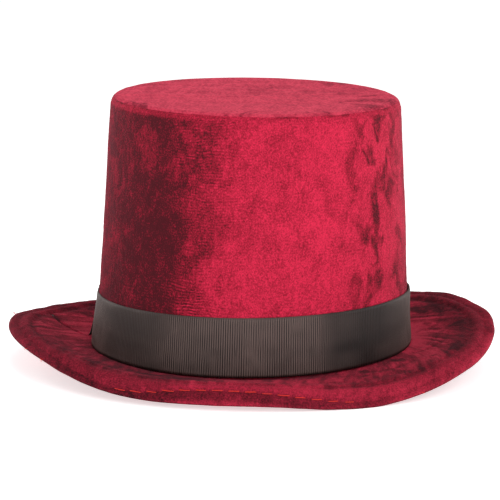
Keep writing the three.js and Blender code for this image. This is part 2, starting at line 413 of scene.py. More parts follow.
# %% Group: round the hat
def build_round_the_hat():
    tree, given, result = new_group(
        "Round the hat",
        [("Axis X", "Float", 0.0), ("Axis Y", "Float", 0.0), ("Radius", "Float", 95.0)],
        [("Unrolled", "Vector")],
    )
    parts = fed(tree, node(tree, "ShaderNodeSeparateXYZ"), Vector=object_place(tree))
    x = maths(tree, "SUBTRACT", maths(tree, "DIVIDE", parts["X"], MM), given["Axis X"])
    y = maths(tree, "SUBTRACT", maths(tree, "DIVIDE", parts["Y"], MM), given["Axis Y"])
    height = maths(tree, "DIVIDE", parts["Z"], MM)
    turn = maths(tree, "ARCTAN2", x, maths(tree, "MULTIPLY", y, -1.0))
    out = maths(tree, "SQRT", maths(tree, "MULTIPLY_ADD", x, x, maths(tree, "MULTIPLY", y, y)))
    length = maths(tree, "MULTIPLY", turn, given["Radius"])
    rolled_out = fed(tree, node(tree, "ShaderNodeCombineXYZ"), X=length, Y=height, Z=out)
    tree.links.new(rolled_out["Vector"], result["Unrolled"])
    return tree


round_the_hat = build_round_the_hat()


def unrolled_place(tree):
    return placed_group(tree, round_the_hat, Axis_X=AXIS_X, Axis_Y=AXIS_Y)["Unrolled"]


# %% Group: crushed nap
def noise_at(tree, place, stretch, scale, detail=2.0, roughness=0.5):
    """Noise from 0 to 1 on place, stretched by the (x, y, z) factors."""
    made = node(tree, "ShaderNodeTexNoise")
    place = scaled(tree, place, stretch)
    return fed(tree, made, Vector=place, Scale=scale, Detail=detail, Roughness=roughness)["Fac"]


def blended(tree, amount, first, second):
    """A colour between first and second, which are colours or sockets."""
    mix = node(tree, "ShaderNodeMix", data_type="RGBA")
    for k, value in ((0, amount), (6, first), (7, second)):
        feed(tree, mix.inputs[k], value)
    return mix.outputs[2]


def stepped(tree, value, low, high):
    """0 below low, 1 above high, smooth between them."""
    made = node(tree, "ShaderNodeMapRange", interpolation_type="SMOOTHSTEP")
    return fed(tree, made, Value=value, From_Min=low, From_Max=high)["Result"]


LINT_SPACING = 0.022
LINT_SIZE = 0.011
LINT = (0.75, 0.55, 0.45, 1)


def build_crushed_nap():
    tree, given, result = new_group(
        "Crushed nap",
        [("Place", "Vector", None), ("Lean", "Float", 0.5), ("Patches", "Float", 0.15),
         ("Grain", "Float", 0.3), ("Knit", "Float", 0.1), ("Row height", "Float", 1.8),
         ("Dark", "Color", None), ("Middle", "Color", None), ("Bright", "Color", None)],
        [("Colour", "Color"), ("Height", "Float"), ("Roughness", "Float")],
    )
    place = given["Place"]
    level = fed(tree, node(tree, "ShaderNodeSeparateXYZ"), Vector=place)["Y"]
    streaks = noise_at(tree, place, (1, 0.5, 1), 0.4, 4.0, 0.7)
    grain = noise_at(tree, place, (1.1, 0.9, 1), 1.05, 2.0, 0.8)
    wander = noise_at(tree, place, (1, 0.6, 1), 0.05, 3.0)
    # the knitted rows are level lines that wander a little
    row_place = maths(tree, "MULTIPLY_ADD", wander, 7.0, level)
    row_turn = maths(tree, "MULTIPLY", maths(tree, "DIVIDE", row_place, given["Row height"]), TURN)
    broken = stepped(tree, noise_at(tree, place, (0.5, 1, 1), 0.5, 3.0), 0.4, 0.62)
    rows = maths(tree, "MULTIPLY", maths(tree, "SINE", row_turn), given["Knit"])
    rows = maths(tree, "MULTIPLY", rows, broken)
    # the lean from the mesh also carries painted light and shade
    lean = maths(tree, "ADD", given["Lean"], rows)
    for field, strength in ((streaks, given["Patches"]), (grain, given["Grain"])):
        centred = maths(tree, "MULTIPLY_ADD", field, 2.0, -1.0)
        lean = maths(tree, "MULTIPLY_ADD", centred, strength, lean)
    to_middle = stepped(tree, lean, -0.1, 0.5)
    to_bright = stepped(tree, lean, 0.3, 1.25)
    colour = blended(tree, to_middle, given["Dark"], given["Middle"])
    colour = blended(tree, to_bright, colour, given["Bright"])
    # a few pale specks of lint
    cells = fed(tree, node(tree, "ShaderNodeTexVoronoi"), Vector=place, Scale=LINT_SPACING)
    lint = maths(tree, "MULTIPLY", maths(tree, "LESS_THAN", cells["Distance"], LINT_SIZE), 0.5)
    colour = blended(tree, lint, colour, LINT)
    height = maths(tree, "MULTIPLY_ADD", grain, 0.9, maths(tree, "MULTIPLY_ADD", streaks, 0.4, rows))
    roughness = maths(tree, "MULTIPLY_ADD", to_bright, -0.25, 0.95)
    for label, value in (("Colour", colour), ("Height", height), ("Roughness", roughness)):
        tree.links.new(value, result[label])
    return tree


crushed_nap = build_crushed_nap()


# %% Material helpers
def new_material(name):
    made = bpy.data.materials.new(name)
    made.use_nodes = True
    tree = made.node_tree
    tree.nodes.clear()
    shader = node(tree, "ShaderNodeBsdfPrincipled")
    output = node(tree, "ShaderNodeOutputMaterial")
    tree.links.new(shader.outputs[0], output.inputs["Surface"])
    return made, tree, shader


def bumped(tree, height, strength, distance):
    """A normal for the shader, from a height. distance is in metres."""
    made = node(tree, "ShaderNodeBump")
    return fed(tree, made, Height=height, Strength=strength, Distance=distance)["Normal"]


def mottled(name, shades, place, stretch, noise, bump, **values):
    """A material of two shades, mixed by a stretched noise that is also its bump.

    place finds where the noise lies, noise is (scale, detail, roughness), and bump is (strength, metres).
    """
    made, tree, shader = new_material(name)
    spots = noise_at(tree, place(tree), stretch, *noise)
    dark, light = shades
    colour = blended(tree, spots, (*dark, 1), (*light, 1))
    fed(tree, shader, Base_Color=colour, Normal=bumped(tree, spots, *bump), **values)
    return made


# %% [markdown]
# ## Velvet
# Velvet is a cut pile: short fibres that stand up and lean. They glow a little at grazing angles, which
# is the shader's sheen. They change from bright crimson to near black with their lean. Each mesh carries
# that lean as a value on its points, as if a hand had brushed the cloth there, and the same value also
# carries painted light and shade: brighter where the light falls, darker where it falls away and in
# grooves, seams and creases. A second value called "knit" says where the rows of the backing show. The
# group then adds the fine grain.

# %% Velvet materials
SHEEN_PINK = (1.0, 0.3, 0.4, 1)


def velvet(name, sheen, patches, place_scale=None, **values):
    """Velvet that follows the pile's lie and the painted light and shade carried on the mesh's points.
    place_scale swaps the unrolled place for the plain one.
    """
    made, tree, shader = new_material(name)
    if place_scale is None:
        place = unrolled_place(tree)
    else:
        place = scaled(tree, object_place(tree), [k / MM for k in place_scale])
    nap_and_painted_light = placed_group(tree, crushed_nap, Place=place, Lean=point_value(tree, "nap_and_painted_light"),
                       Knit=point_value(tree, "knit"), Patches=patches, **values)
    fed(tree, shader, Base_Color=nap_and_painted_light["Colour"], Roughness=nap_and_painted_light["Roughness"],
        Normal=bumped(tree, nap_and_painted_light["Height"], 0.6, 0.0006), Specular_IOR_Level=0.06,
        Sheen_Weight=sheen, Sheen_Roughness=0.35, Sheen_Tint=SHEEN_PINK)
    return made


CRIMSON = {"Dark": (0.07, 0.009, 0.014, 1), "Middle": (0.27, 0.011, 0.027, 1),
           "Bright": (0.70, 0.024, 0.072, 1)}
# a paler, pinker copy of the crimson for the tip: painted sheen where the flat tip is seen at a grazing angle
CRIMSON_TIP_PAINTED_SHEEN = {"Dark": (0.20, 0.014, 0.03, 1), "Middle": (0.44, 0.03, 0.062, 1),
               "Bright": (0.72, 0.055, 0.105, 1)}
# a darker copy of the crimson for the brim: painted shade, as the brim gets less light
CRIMSON_BRIM_PAINTED_SHADE = {"Dark": (0.035, 0.005, 0.008, 1), "Middle": (0.16, 0.009, 0.02, 1),
                "Bright": (0.50, 0.022, 0.055, 1)}
velvet_crown = velvet("crown velvet", 0.16, 0.3, Grain=1.0, **CRIMSON)
velvet_tip = velvet("tip velvet", 0.07, 0.75, Grain=0.9, place_scale=(0.55, 0.3, 1), **CRIMSON_TIP_PAINTED_SHEEN)
velvet_brim = velvet("brim velvet", 0.07, 0.35, Grain=0.8, place_scale=(1, 1, 1), **CRIMSON_BRIM_PAINTED_SHADE)


# %% How the nap was brushed
def rings(table, u, t):
    """Readings round the hat for a few rings, as {ring: readings}, joined smoothly over u and t."""
    places = sorted(table)
    values = [around(table[k], t) for k in places]
    total = values[0] + 0 * u
    for k in range(1, len(places)):
        share = smooth(u, places[k - 1], places[k])
        total = total * (1 - share) + values[k] * share
    return total


def periodic(points, t):
    """A curve through (degrees, value) points from -180 to 180."""
    at, value = zip(*points)
    return np.interp(np.degrees(t), at, value)


# the lie of the pile round the crown with painted light and shade: painted bright where the light falls on
# the front and right, painted dark shade over the left third: (degrees, lean)
CROWN_NAP_AND_PAINTED_LIGHT = [(-180, 0.6), (-150, 0.4), (-125, 0.7), (-100, 0.45), (-85, 0.3), (-70, 0.08), (-55, 0.0),
             (-40, -0.06), (-29, 0.1), (-19, 0.46), (-10, 0.72), (0, 0.77), (12, 0.73), (30, 0.9),
             (42, 0.8), (75, 0.72), (100, 0.45), (125, 0.72), (150, 0.45), (180, 0.6)]
CROWN_BLOTCH = [(-180, 0.5), (-120, 0.3), (-70, 0.15), (-20, 0.1), (20, 0.12), (32, 0.22), (44, 0.7),
                (56, 1.0), (70, 0.7), (85, 0.4), (110, 0.3), (150, 0.7), (180, 0.5)]
CROWN_KNIT = [(-180, 0.2), (-150, 0.5), (-120, 0.2), (-60, 0.1), (-38, 0.4), (-24, 1.0), (-12, 0.7),
              (0, 0.2), (30, 0.08), (60, 0.05), (100, 0.3), (140, 0.6), (180, 0.2)]
CROWN_WAVER = [(0.09, 24, 6, 201), (0.07, 90, 12, 401)]
CROWN_RESTLESS = [(0.07, 20, 5, 106), (0.07, 420, 60, 104)]
KNIT_NAP = 0.42  # the lie between dark and bright where the knitted rows show most
KNIT_SPAN = 0.34
BLOTCH_DEPTH = 0.66
FLECK_LIFT = 0.2
ROLLED_PAINTED_HIGHLIGHT = 0.7  # painted highlight where the cloth rolls over the top edge and turns up to the light


def crown_nap(t, z):
    """The lie of the pile on the crown's side with its painted light and shade, and how far its knitted rows
    show.
    """
    turn = turn_of(t)
    along = (z - SEAT_TOP) / (HEIGHT - SEAT_TOP)
    # the change from dark to bright wavers, and slants a little to the right further up
    waver = layered(turn, along, CROWN_WAVER, ragged)
    nap_and_painted_light = periodic(CROWN_NAP_AND_PAINTED_LIGHT, t + waver - 0.05 * (along - 0.45))
    blotch = ragged(turn + 0.012 * along, along, 60, 12, 581) + 0.3 * unevenness(turn, along, 230, 14, 114)
    nap_and_painted_light = nap_and_painted_light - BLOTCH_DEPTH * periodic(CROWN_BLOTCH, t) * smooth(blotch, -0.2, 0.9)
    nap_and_painted_light = nap_and_painted_light + layered(turn, along, CROWN_RESTLESS) + 0.09 * ragged(turn, along, 90, 26, 281)
    flecks = smooth(ragged(turn, along, 60, 10, 321), 0.35, 0.95)
    nap_and_painted_light = nap_and_painted_light + FLECK_LIFT * flecks * (1 - smooth(nap_and_painted_light, 0.2, 0.5))
    patch = smooth(unevenness(turn, along, 16, 4, 109), -0.7, 0.3)
    showing = bell(nap_and_painted_light - KNIT_NAP, KNIT_SPAN) * patch * periodic(CROWN_KNIT, t)
    knit = 0.03 + 0.55 * showing * (1 - 0.7 * along)
    # the cloth rolled over the top edge is painted bright: a painted highlight where it turns up to the light
    rolled = 0.7 * smooth(z, SHOULDER - 1, SHOULDER + 2)
    return nap_and_painted_light * (1 - rolled) + ROLLED_PAINTED_HIGHLIGHT * rolled, knit


def tip_nap(t, share):
    """The lie of the pile on the tip, with a few creases across it."""
    x = share * np.sin(t) / 8
    depth = (share * np.cos(t) + 1) / 2
    middle = x + 0.5
    streak = 0.6 * unevenness(middle, depth, 56, 20, 111) + 0.4 * unevenness(x, depth, 140, 40, 112)
    dim = unevenness(middle, depth, 44, 7, 113) + 0.5 * streak
    creased = ragged(middle, depth, 30, 5, 361)
    return 0.8 + 0.12 * streak - 0.35 * smooth(dim, 0.45, 1.1) - 0.5 * smooth(creased, 0.45, 1.0)


# the lie of the pile on the brim with painted light and shade: bright near the crown and at the rim where the
# light falls, painted dark shade in the cupped bowl on the right. Rings in mm from the crown, readings every
# 30 degrees from the front towards the right.
BRIM_NAP_AND_PAINTED_LIGHT = {
    4: [0.5, 0.5, 0.65, 1.2, 1.2, 0.5, 0.5, 0.6, 0.95, 0.75, 0.25, 0.4],
    22: [0.55, 0.6, 0.6, 0.65, 0.6, 0.5, 0.45, 0.5, 0.95, 0.65, 0.5, 0.2],
    36: [0.7, 0.45, 0.3, 0.1, 0.3, 0.35, 0.3, 0.35, 0.5, 0.7, 0.4, 0.45],
    43: [0.8, 0.75, 0.5, 0.35, 0.3, 0.45, 0.45, 0.4, 0.4, 0.55, 0.4, 0.65],
    50: [0.65, 0.72, 0.75, 0.6, 0.35, 0.5, 0.45, 0.45, 0.35, 0.45, 0.5, 0.6],
    54: [0.6, 0.65, 0.8, 0.8, 0.55, 0.5, 0.45, 0.5, 0.5, 0.55, 0.5, 0.55],
}
# painted shade in the groove of the hem, and on the strip just outside the edge stitching where the roll
# turns away from the light: (degrees, share)
HEM_PAINTED_SHADE = [(-180, 1.0), (-110, 0.8), (-70, 0.5), (-48, 0.1), (12, 0.05), (20, 0.9), (44, 0.7),
             (58, 0.3), (100, 0.4), (140, 1.0), (180, 1.0)]
ROW_PAINTED_SHADE = [(-180, 0.3), (-60, 0.2), (-42, 0.8), (-30, 1.0), (6, 1.0), (14, 0.4), (30, 0.3), (60, 0.1),
             (180, 0.3)]
SLANT = 0.11  # how far round the hat a streak runs while it crosses the brim


def brim_nap(u, t, seed):
    """The lie of the pile on the brim with painted light and shade: brushed round and across it in slanting
    streaks.
    """
    turn = turn_of(t)
    along = np.clip(u / BRIM_WIDTH, 0, 1)
    slanted = turn + SLANT * along * np.sin(t)
    streak = layered(slanted, along, [(1, 150, 3, seed), (0.7, 380, 8, seed + 1)])
    patch = unevenness(turn, along, 30, 4, seed + 2)
    blotch = smooth(unevenness(turn, along, 64, 6, seed + 3) + 0.5 * streak, 0.55, 1.0)
    bare = 1 - smooth(u, HEM_STITCH - 4, HEM_STITCH + 3)
    brushed = rings(BRIM_NAP_AND_PAINTED_LIGHT, u, t) + (0.12 + 0.24 * bare) * streak + 0.14 * patch
    return brushed - 0.6 * blotch * (0.2 + 0.8 * bare)


# %% [markdown]
# ## Crown side
# The side is one strip of velvet glued over the board wall, so it is smooth with slow dents, and it
# puckers a little where it turns in at the tip's seam. It is a thin shell: an outer face with all the
# detail and a plain inner face.

# %% Crown side
EDGE_CENTRE = TIP_RADIUS - TIP_ROUNDING  # where the top edge's rounding is centred
INNER_ROUNDING = TIP_ROUNDING - VELVET
SEAM_ANGLE = 47  # degrees of the rounding that belong to the side
FOOT = 0.6  # the side's foot goes down to the brim's velvet
STAND = 0.3  # how far the pile stands off the velvet's plain face
WALL_LEAN = 0.05
SIDE_COLUMNS = 900
CROWN_DENTS = [(0.45, 9, 4, 11), (0.16, 46, 14, 12)]
CROWN_FUZZ = [(0.1, 450, 110, 13)]
CROWN_PUCKERS = [(0.22, 130, 3, 14)]


def rounded(radius, lean):
    """Radius and height of points on the top edge's rounding, at these angles above level."""
    return EDGE_CENTRE + radius * np.cos(lean), SHOULDER + radius * np.sin(lean)


def crown_side():
    t = angles(SIDE_COLUMNS)
    up = np.linspace(WALL_BOTTOM - FOOT, SHOULDER, 120)
    turn_in = np.radians(np.append(np.linspace(6, SEAM_ANGLE - 0.5, 10), SEAM_ANGLE))
    outer_r, outer_z = rounded(TIP_ROUNDING, turn_in)
    inner_r, inner_z = rounded(INNER_ROUNDING, turn_in[::-3])
    r = spread(np.concatenate([crown_radius(up), outer_r, inner_r, crown_radius(up[::-20]) - VELVET]), t)
    z = spread(np.concatenate([up, outer_z, inner_z, up[::-20]]), t)
    outside = len(up) + len(turn_in)
    lean = np.concatenate([np.full(len(up), WALL_LEAN), turn_in])[:, None]
    along = np.linspace(0, 1, outside)[:, None]
    turn = turn_of(t)
    to_seam = (along - 1) * (SHOULDER - WALL_BOTTOM)
    dents = layered(turn, along, CROWN_DENTS) * smooth(-to_seam, 0, 14)
    puckers = layered(turn, along, CROWN_PUCKERS) * bell(to_seam, 6)
    raised = (dents + layered(turn, along, CROWN_FUZZ) + STAND) * smooth(along, 0, 0.15) + 0.5 * puckers
    r[:outside] += raised * np.cos(lean)
    z[:outside] += raised * np.sin(lean)
    nap_and_painted_light, knit = crown_nap(t, np.minimum(z, HEIGHT))
    # painted shade along the seam under the top edge, where the pile parts
    spots = smooth(ragged(turn, along, 44, 6, 15), 0.0, 0.7)
    nap_and_painted_light[:outside] -= 0.6 * bell(to_seam + 0.5, 3.2) * spots
    points = on_crown(r, t, z, back_rise(r, t, z))
    return ring_object("velvet_crown_side", points, {"nap_and_painted_light": nap_and_painted_light, "knit": knit})


side_piece = finished(crown_side(), "velvet", velvet_crown, "crown_side_velvet")

# %% [markdown]
# ## Crown tip
# The tip is an oval of the same velvet on the board lid. Cloth laid on a flat board sinks a little in the
# middle and shows long shallow creases, and its edge rolls over to meet the side at the seam.

# %% Crown tip
def disc_object(name, points, marks=None):
    """Like ring_object, for a profile that starts and ends on the axis: its two end rows are points."""
    rows, columns, _ = points.shape
    vertices = np.vstack([points[1:-1].reshape(-1, 3), points[0].mean(0), points[-1].mean(0)])
    faces = grid_faces(rows - 2, columns).tolist()
    foot = (rows - 3) * columns
    first = foot + columns
    for j in range(columns):
        k = (j + 1) % columns
        faces += [[first, k, j], [first + 1, foot + j, foot + k]]
    flat_marks = {key: np.append(value[1:-1].ravel(), [0, 0]) for key, value in (marks or {}).items()}
    return made_object(name, vertices, faces, flat_marks)


TUCK = 0.4  # how deep the tip's edge is tucked under the side's velvet
TIP_SAG = 0.2  # how far the tip's middle sinks
TIP_COLUMNS = 600
TIP_FOLDS = [(0.22, 7, 34, 21)]
TIP_WAVES = [(0.3, 5, 6, 22)]
TIP_PUCKERS = [(0.2, 120, 2, 23)]


def crown_tip():
    t = angles(TIP_COLUMNS)
    # the tip's edge starts a little under the side's, so the seam has no gap
    roll = np.radians(np.append([SEAM_ANGLE - 4], np.linspace(SEAM_ANGLE, 90, 9)))
    outer_r, outer_z = rounded(TIP_ROUNDING - np.where(roll < roll[1], TUCK, 0), roll)
    inner_r, inner_z = rounded(INNER_ROUNDING, roll[::-4])
    across = np.linspace(EDGE_CENTRE, 0, 60)[1:]
    r = spread(np.concatenate([[0], inner_r, outer_r, across]), t)
    z = spread(np.concatenate([[HEIGHT - VELVET], inner_z, outer_z, np.full(len(across), HEIGHT)]), t)
    under = 1 + len(inner_r)
    share = r / TIP_RADIUS
    x = r * np.sin(t)
    y = r * np.cos(t)
    creases = layered(x / 600, y / 190 + 0.5, TIP_FOLDS) + layered(x / 400, y / 200 + 0.5, TIP_WAVES)
    puckers = layered(turn_of(t), share, TIP_PUCKERS) * bell(1 - share, 0.05)
    sag = -TIP_SAG * (1 - share**2)
    top = sag + creases * smooth(1 - share, 0, 0.12) + STAND + 0.5 * puckers
    lift = np.where(np.arange(len(r))[:, None] >= under, top, sag)
    level = math.pi / 2
    lean = np.concatenate([np.full(under, level), roll, np.full(len(across), level)])[:, None]
    r = r + lift * np.cos(lean)
    # painted shade along the seam at the tip's edge, where the pile parts
    spots = smooth(ragged(turn_of(t), share, 44, 6, 24), 0.1, 0.8)
    nap_and_painted_light = tip_nap(t, share) - 0.5 * spots * bell(1 - share, 0.035)
    points = placed(r, t, z + lift * np.sin(lean) + seat_rise(t, z) + back_rise(r, t, z))
    return disc_object("velvet_crown_tip", points, {"nap_and_painted_light": nap_and_painted_light})


tip_piece = finished(crown_tip(), "velvet", velvet_tip, "crown_tip_velvet")

# %% [markdown]
# ## Brim
# Two rings of velvet lie round a board that ends at the hem. Outside it, two rows of stitching hold a
# soft channel with the wire in its edge. The stitching pulls the velvet down in two grooves, with puckers
# between the stitches, and the cloth swells a little between the rows.

# %% Brim surface
STITCH_PITCH = 9.9
STITCH_LENGTH = 8.2
LIP = BRIM_WIDTH - BRIM_FACE  # where the edge's rounding is centred
OPENING_EDGE = -2.9  # where the velvet ends, inside the crown's foot
BRIM_COLUMNS = 1200
BRIM_SEEDS = {1: 31, -1: 51}  # for the top and for the underside
BRIM_AROUND = TURN * (BASE_RADIUS + EDGE_STITCH + OVAL / 2)
STITCHES = round(BRIM_AROUND / STITCH_PITCH)
# mm from EDGE_STITCH every 15 degrees from the front towards the right
EDGE_WANDER = [-3, 0.6, 3.8, 2, 0, 0.5, 0, -0.5, 0, 0.5, 1, 0,
               -0.5, 0, 0.6, 0, -0.4, 0, 0.4, 0, 0.8, 2, 3.6, -2.4]
# creases in the cloth: (degrees at one end, mm from the crown, degrees at the other end, mm, depth)
CREASES = [(-112, 40, -100, 9, 0.5), (66, 8, 92, 26, 0.2), (72, 6, 100, 18, 0.15), (98, 14, 118, 36, 0.2),
           (36, 10, 58, 20, 0.15), (-60, 14, -84, 24, 0.15)]
CREASE_WIDTH = 2.6
CREASE_BOW = 5  # how far a crease bends away from straight
SWELL = 0.9  # how far the cloth rises between the two rows

def crease_field(u, t):
    """How strongly each point lies in a crease, from 0 to about 1."""
    total = np.zeros(np.broadcast_shapes(u.shape, t.shape))
    for start_at, start_u, end_at, end_u, depth in CREASES:
        a, b = math.radians(start_at), math.radians(end_at)
        passed = (t - a) / (b - a)
        share = np.clip(passed, 0, 1)
        line = start_u + (end_u - start_u) * share + CREASE_BOW * np.sin(share * math.pi)
        ends = smooth(passed, -0.05, 0.12) * smooth(1 - passed, -0.05, 0.12)
        total = total + depth * 2 * ends * bell(u - line, CREASE_WIDTH)
    return total


def edge_row(t):
    """Distance of the edge stitching from the crown: a hand-guided row wanders."""
    return EDGE_STITCH + around(EDGE_WANDER, t) + 0.4 * unevenness(turn_of(t), 0, 22, 1, 41)


def brim_relief(u, t, seed):
    """How far the velvet stands off its plain face, and the lie of its pile with painted shade in its grooves
    and creases.
    """
    turn = turn_of(t)
    along = u / BRIM_WIDTH
    dents = [(0.4, 16, 3, seed), (0.2, 60, 9, seed + 1), (0.07, 420, 40, seed + 2)]
    relief = layered(turn, along, dents)
    between = 0.5 - 0.5 * np.cos(turn * TURN * STITCHES)
    hem_row = HEM_STITCH + 0.7 * unevenness(turn, 0, 30, 1, 42)
    row = edge_row(t)
    soft = 0.7 + 0.3 * unevenness(turn, along, 50, 2, seed + 4)
    hem_painted_shade = periodic(HEM_PAINTED_SHADE, t)
    # the strip just outside the edge row is painted darker: painted shade where the roll turns from the light
    strip = smooth(u, row - 0.6, row + 1) * (1 - smooth(u, row + 5.5, row + 9))
    nap_and_painted_light = brim_nap(u, t, seed + 5) - 0.3 * periodic(ROW_PAINTED_SHADE, t) * strip
    # each row's place, and the depth, width and painted shade of its groove
    grooves = ((hem_row, 0.5 + 0.6 * hem_painted_shade, 2.2, 0.5 * hem_painted_shade), (row, 0.6, 1.3, 0.1))
    for at, depth, width, dark in grooves:
        groove = bell(u - at, width)
        relief = relief - depth * groove * (0.75 + 0.25 * between)
        puckers = unevenness(turn, along, STITCHES * 2, 6, seed + 3)
        relief = relief + 0.16 * bell(u - at, 5) * puckers
        nap_and_painted_light = nap_and_painted_light - dark * groove * soft
    relief = relief + SWELL * np.sin(math.pi * np.clip((u - hem_row) / (row - hem_row), 0, 1))
    creases = crease_field(u, t)
    # the creases are also painted darker: painted shade in the folds
    return (relief - creases) * smooth(u, -1, 4), nap_and_painted_light - creases * 0.6


def brim_cloth(name, side):
    """One velvet ring: side 1 is the top, -1 the underside. They meet at the edge's middle."""
    t = angles(BRIM_COLUMNS)
    flat_u = np.concatenate([[OPENING_EDGE], np.linspace(0, LIP, 70)])
    roll = np.radians(np.linspace(90, 4, 12))[1:]
    roll_back = roll[::-4]
    back_u = flat_u[::-12]
    u = np.concatenate([flat_u, LIP + BRIM_FACE * np.cos(roll), LIP + HALF_BRIM * np.cos(roll_back), back_u])
    n = np.concatenate([np.full(len(flat_u), BRIM_FACE), BRIM_FACE * np.sin(roll),
                        HALF_BRIM * np.sin(roll_back) + 0.05, np.full(len(back_u), HALF_BRIM)])
    n = spread(n, t)
    outside = len(flat_u) + len(roll)
    relief, nap_and_painted_light = brim_relief(u[:outside, None], t, BRIM_SEEDS[side])
    n[:outside] += relief * np.concatenate([np.ones(len(flat_u)), np.sin(roll)])[:, None]
    marks = np.zeros_like(n)
    marks[:outside] = nap_and_painted_light
    return ring_object(name, brim_place(u, t, n * side, edge_wobble(t)), {"nap_and_painted_light": marks})


upper = finished(brim_cloth("velvet_brim_top", 1), "velvet", velvet_brim, "brim_upper_velvet")
lower = finished(brim_cloth("velvet_brim_underside", -1), "velvet", velvet_brim, "brim_lower_velvet")

# %% [markdown]
# ## Stitching
# The rows are long straight stitches of orange-red thread, about 8 mm each. Every stitch is its own short
# thread: it comes up out of the velvet, lies on it and goes down again. In places the pile hides it.

# %% Stitch material
THREAD_SHADES = ((0.5, 0.013, 0.012), (0.88, 0.048, 0.028))
orange_thread = mottled("orange thread", THREAD_SHADES, object_place, (1 / MM,) * 3, (2.5, 2.0),
                        (0.5, 0.0002), Roughness=0.6, Specular_IOR_Level=0.2)


# %% Stitches
THREAD_RADIUS = 0.32
THREAD_SIDES = 6
THREAD_STEPS = 9
THREAD_END = 0.45  # how thick a thread is at its two ends, next to its middle


def tubes(name, paths, radii):
    """Round threads with closed ends, one along each path of points in metres, as one object."""
    a = TURN * np.arange(THREAD_SIDES)[:, None] / THREAD_SIDES
    vertices = []
    faces = []
    first = 0
    for path, radius in zip(paths, radii):
        along = np.gradient(path, axis=0)
        along /= np.linalg.norm(along, axis=1)[:, None]
        across = np.cross(along, (0, 0, 1.0))
        across /= np.linalg.norm(across, axis=1)[:, None]
        above = np.cross(across, along)
        rounds = (across[:, None] * np.cos(a) + above[:, None] * np.sin(a)) * radius
        rounds[[0, -1]] *= THREAD_END
        vertices.append((path[:, None] + rounds).reshape(-1, 3))
        faces += (grid_faces(len(path), THREAD_SIDES) + first).tolist()
        faces.append([*range(first, first + THREAD_SIDES)][::-1])
        first += len(path) * THREAD_SIDES
        faces.append([*range(first - THREAD_SIDES, first)])
    return made_object(name, np.vstack(vertices), faces)


LOOSE_RADIUS = 0.16
# cut ends of thread that stick out of the edge: (degrees, mm past the edge, mm up, degrees of curl)
LOOSE_ENDS = [(-101, 1.9, 2.6, 1.6), (-99, 1.0, 1.8, -1.2), (-63, 1.3, -0.5, -1.4), (-57, 1.2, -1.2, 1.5),
              (-55, 0.9, -0.4, -1.0), (42, 0.9, 0.3, 1.2), (71, 0.8, 0.6, -1.0)]


def loose_end(degrees, past, rise, curl):
    """The path of one loose end, from inside the brim's edge outwards."""
    share = np.linspace(0, 1, THREAD_STEPS)
    u = LIP + share * (BRIM_FACE + past)
    n = BRIM_FACE * (0.8 - 0.8 * share) + rise * share**2
    t = np.radians(degrees + curl * share**2)[None, :]
    grid = brim_place(u, t, n[:, None], edge_wobble(t))
    return grid[np.arange(THREAD_STEPS), np.arange(THREAD_STEPS)]


def arch(steps):
    """Where the points of a stitch are along it, from -1 to 1, and how high, from 0 to 1."""
    place = np.linspace(-1, 1, steps)
    return place, np.sqrt(np.clip(1 - place**4, 0, 1))


SUNK = 0.6  # how deep a row is drawn down into the pile
SHOWN = 0.05  # how deep the edge row is in front, where it lies on the pile
SHOWN_AT = 0.07  # radians to the left of the front, the middle of that stretch


def brim_row(name, row, side, seed):
    """A row of stitches at distance row from the crown, on the top (side 1) or the underside (-1)."""
    draws = np.random.default_rng(seed)
    outer_top = row == EDGE_STITCH and side == 1
    paths = []
    half = STITCH_LENGTH / STITCH_PITCH / STITCHES * math.pi
    span, height = arch(THREAD_STEPS)
    lift = THREAD_RADIUS * (0.55 * height - 0.35) * 2
    for k in range(STITCHES):
        middle = (k + 0.5) / STITCHES * TURN - math.pi
        t = middle + half * span[None, :] * draws.uniform(0.85, 1.05)
        place = edge_row(middle) if row == EDGE_STITCH else row
        u = np.array([float(place) + draws.uniform(-0.2, 0.2)])
        relief, _ = brim_relief(u[:, None], t, BRIM_SEEDS[side])
        depth = SHOWN + SUNK * float(smooth(abs(middle + SHOWN_AT), 0.45, 0.6)) if outer_top else SUNK
        n = BRIM_FACE + relief + lift - depth - draws.uniform(0, 0.15)
        paths.append(brim_place(u, t, n * side, edge_wobble(t))[0])
    radii = [THREAD_RADIUS * MM] * len(paths)
    if outer_top:
        paths += [loose_end(*end) for end in LOOSE_ENDS]
        radii += [LOOSE_RADIUS * MM] * len(LOOSE_ENDS)
    return tubes(name, paths, radii)


rows = [("edge_stitching_upper", EDGE_STITCH, 1, 61), ("edge_stitching_lower", EDGE_STITCH, -1, 62),
        ("hem_stitching_upper", HEM_STITCH, 1, 63), ("hem_stitching_lower", HEM_STITCH, -1, 64)]
for node_name, row, side, seed in rows:
    finished(brim_row("stitches_" + node_name, row, side, seed), "thread", orange_thread, node_name)
print(STITCHES, "stitches in each row")

# %% [markdown]
# ## Ribbon
# Grosgrain is woven with a thick weft, so it has fine ribs that run across it. They are modelled, about
# 1.4 mm apart, because they catch the light, and their tops are also painted lighter and their gaps darker:
# painted light and shade, with more painted light and shade round the band. The ribbon is pulled round the
# crown and stands off it a little at its lower edge on the left, where it is joined.

# %% Ribbon material
RIBBON_DARK = (0.008, 0.005, 0.0045, 1)
RIBBON_LIGHT = (0.135, 0.092, 0.082, 1)


